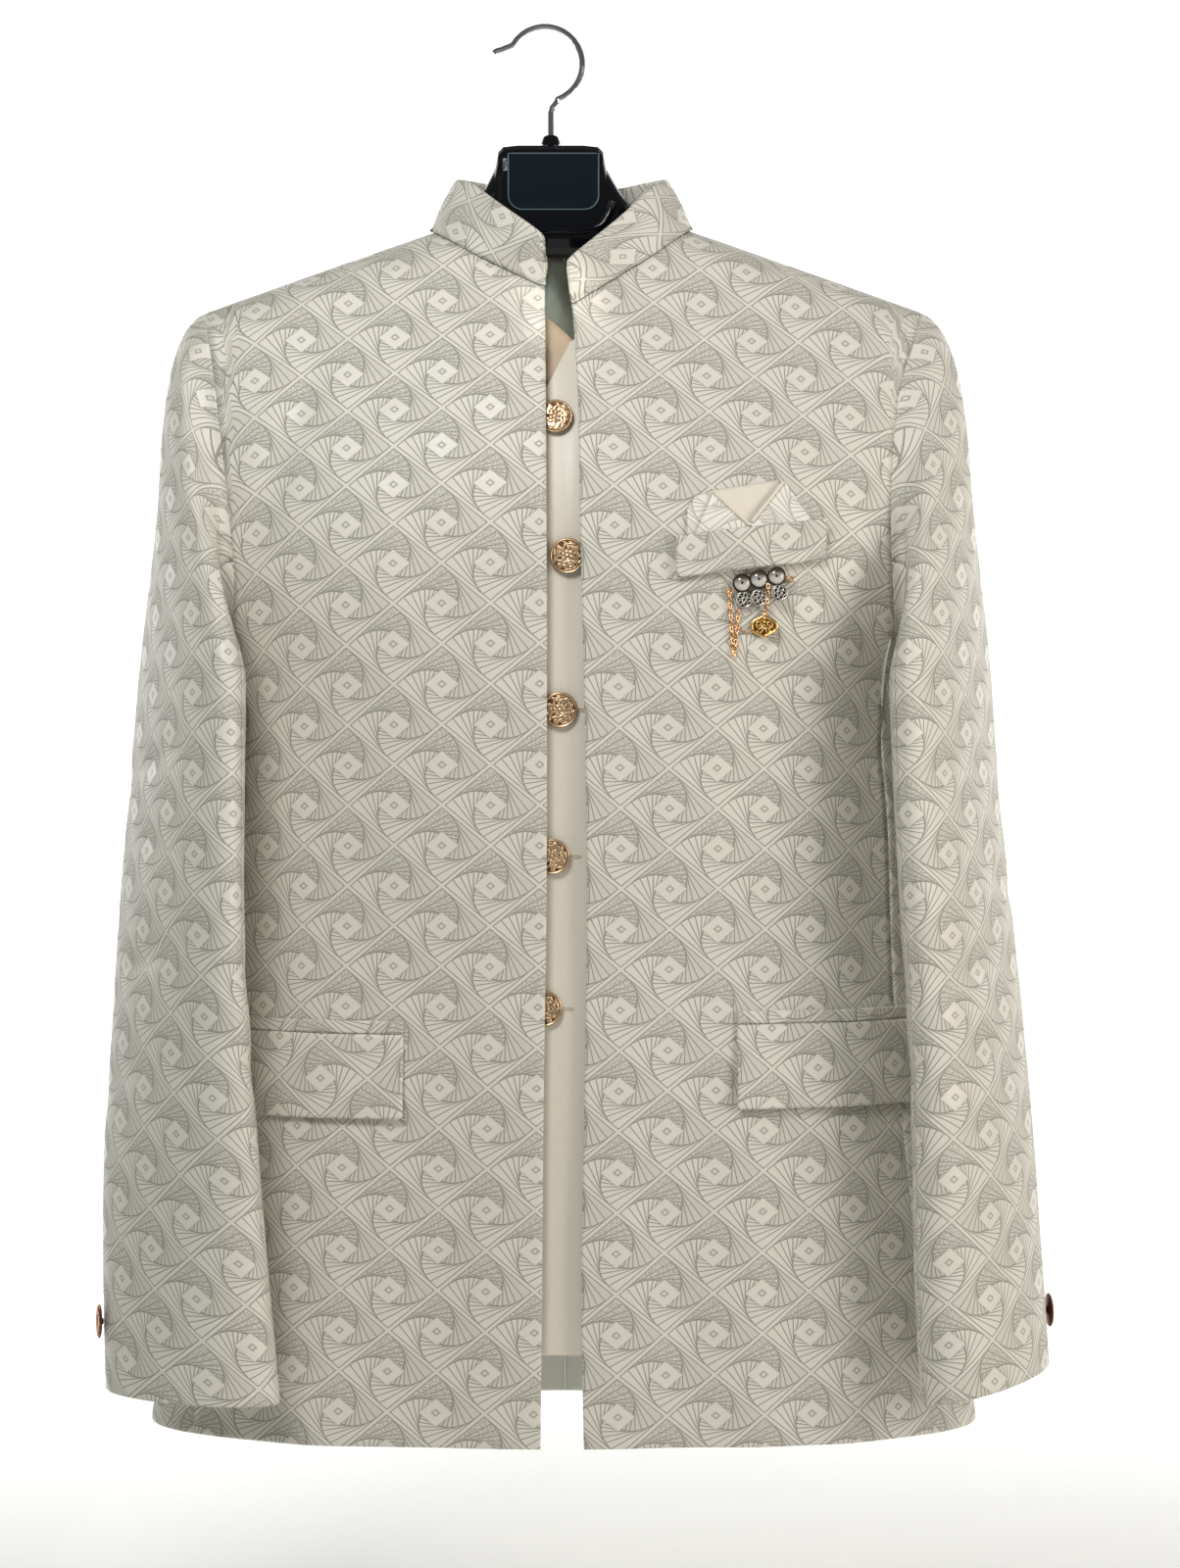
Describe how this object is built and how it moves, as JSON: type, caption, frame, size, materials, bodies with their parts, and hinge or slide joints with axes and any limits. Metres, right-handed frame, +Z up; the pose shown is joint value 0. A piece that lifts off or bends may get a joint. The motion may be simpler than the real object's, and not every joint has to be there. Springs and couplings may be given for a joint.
{
  "type": "jodhpuri suit on a hanger",
  "caption": "Jodhpuri suit jacket in ivory jacquard, worn open over a buttoned satin vest, hanging on a plastic suit hanger with a metal hook.",
  "frame": {"origin": "inside top of the hanger's hook, where the rod or peg that holds it lies", "axes": "+Z up, +X to the viewer's right when the front is seen, +Y away from that viewer"},
  "size_m": [0.5708, 0.232, 0.854],
  "materials": {
    "jacquard": "woven ivory jacquard",
    "satin": "plain cream satin",
    "antique_gold": "antiqued relief",
    "copper_gold": "antiqued relief",
    "black_plastic": "gloss black",
    "plate_plastic": "gloss blue black",
    "chrome": "polished",
    "silver": "filigree silver",
    "pearl": "polished white stone",
    "gold": "polished gold"
  },
  "bodies": {
    "root": {"front_left": "jacquard", "front_right": "jacquard", "side_left": "jacquard", "side_right": "jacquard", "back_left": "jacquard", "back_right": "jacquard", "top_sleeve_left": "jacquard", "top_sleeve_right": "jacquard", "under_sleeve_left": "jacquard", "under_sleeve_right": "jacquard", "collar": "jacquard", "jet_left": "jacquard", "jet_right": "jacquard", "flap_left": "jacquard", "flap_right": "jacquard", "chest_welt": "jacquard", "square_back": "satin", "square_front": "jacquard", "vest_front_left": "satin", "vest_front_right": "satin", "vest_back": "satin", "vest_button_1": "antique_gold", "vest_button_2": "antique_gold", "vest_button_3": "antique_gold", "vest_button_4": "antique_gold", "vest_button_5": "antique_gold", "cuff_button_left": "copper_gold", "cuff_button_right": "copper_gold", "brooch_setting": "silver", "brooch_stone_1": "pearl", "brooch_stone_2": "pearl", "brooch_stone_3": "pearl", "brooch_chain": "gold", "brooch_drop": "gold", "brooch_pendant": "gold", "hanger_body": "black_plastic", "hanger_socket": "black_plastic", "hanger_plate": "plate_plastic", "hanger_hook": "chrome"}
  },
  "joints": []
}
